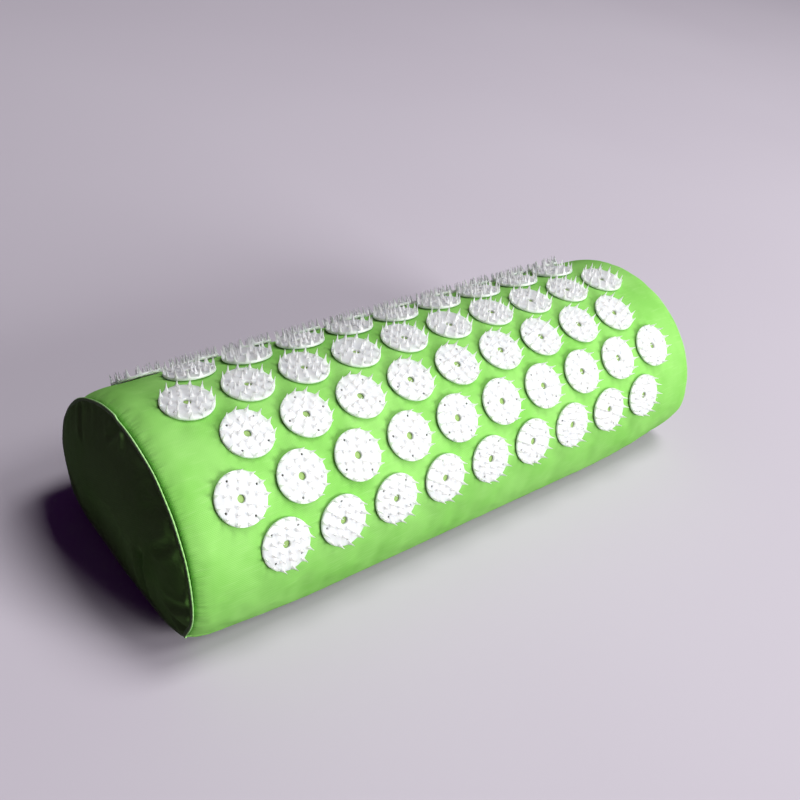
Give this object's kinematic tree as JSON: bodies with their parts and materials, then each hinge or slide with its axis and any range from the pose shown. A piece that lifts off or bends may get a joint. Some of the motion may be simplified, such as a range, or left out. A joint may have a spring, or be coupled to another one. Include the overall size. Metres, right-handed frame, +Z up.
{
  "type": "acupressure pillow",
  "caption": "Half-moon acupressure pillow: firm foam core in a sewn cotton cover with staggered spiked plastic discs and a zip along its lower rear side.",
  "frame": {"origin": "middle of the pillow's footprint on the surface it lies on", "axes": "+X along the pillow, +Z up, -Y towards the front, which has no zip"},
  "size_m": [0.3854, 0.1578, 0.1044],
  "materials": {
    "cotton_cover": "plain-woven green cotton canvas, matte",
    "seam_edge": "turned and sewn cotton edge, matte",
    "disc_plastic": "white moulded plastic, satin gloss",
    "foam": "open-cell polyurethane foam, matte",
    "zip_tape": "woven polyester tape with nylon coil, matte",
    "zip_metal": "die-cast, satin"
  },
  "bodies": {
    "pillow": {"base_panel": "cotton_cover", "disc_row1_01": "disc_plastic", "disc_row1_02": "disc_plastic", "disc_row1_03": "disc_plastic", "disc_row1_04": "disc_plastic", "disc_row1_05": "disc_plastic", "disc_row1_06": "disc_plastic", "disc_row1_07": "disc_plastic", "disc_row1_08": "disc_plastic", "disc_row1_09": "disc_plastic", "disc_row2_01": "disc_plastic", "disc_row2_02": "disc_plastic", "disc_row2_03": "disc_plastic", "disc_row2_04": "disc_plastic", "disc_row2_05": "disc_plastic", "disc_row2_06": "disc_plastic", "disc_row2_07": "disc_plastic", "disc_row2_08": "disc_plastic", "disc_row2_09": "disc_plastic", "disc_row2_10": "disc_plastic", "disc_row3_01": "disc_plastic", "disc_row3_02": "disc_plastic", "disc_row3_03": "disc_plastic", "disc_row3_04": "disc_plastic", "disc_row3_05": "disc_plastic", "disc_row3_06": "disc_plastic", "disc_row3_07": "disc_plastic", "disc_row3_08": "disc_plastic", "disc_row3_09": "disc_plastic", "disc_row4_01": "disc_plastic", "disc_row4_02": "disc_plastic", "disc_row4_03": "disc_plastic", "disc_row4_04": "disc_plastic", "disc_row4_05": "disc_plastic", "disc_row4_06": "disc_plastic", "disc_row4_07": "disc_plastic", "disc_row4_08": "disc_plastic", "disc_row4_09": "disc_plastic", "disc_row4_10": "disc_plastic", "disc_row5_01": "disc_plastic", "disc_row5_02": "disc_plastic", "disc_row5_03": "disc_plastic", "disc_row5_04": "disc_plastic", "disc_row5_05": "disc_plastic", "disc_row5_06": "disc_plastic", "disc_row5_07": "disc_plastic", "disc_row5_08": "disc_plastic", "disc_row5_09": "disc_plastic", "end_panel_left": "cotton_cover", "end_panel_right": "cotton_cover", "end_seam_left": "seam_edge", "end_seam_right": "seam_edge", "foam_core": "foam", "front_seam": "seam_edge", "wrap_panel": "cotton_cover", "zip_end_stop": "zip_metal", "zip_tape_lower": "zip_tape", "zip_tape_upper": "zip_tape"},
    "zip_slider": {"zip_slider": "zip_metal"},
    "zip_pull": {"zip_pull": "zip_metal"}
  },
  "joints": [
    {"name": "zip_slide", "type": "slide", "parent": "pillow", "child": "zip_slider", "axis": [1, 0, 0], "range_m": [-0.3274, 0]},
    {"name": "pull_hinge", "type": "hinge", "parent": "zip_slider", "child": "zip_pull", "pos_m": [0.1655, 0.07666, 0.03226], "axis": [0, -0.0338, 0.9994], "range_deg": [0, 180]}
  ]
}
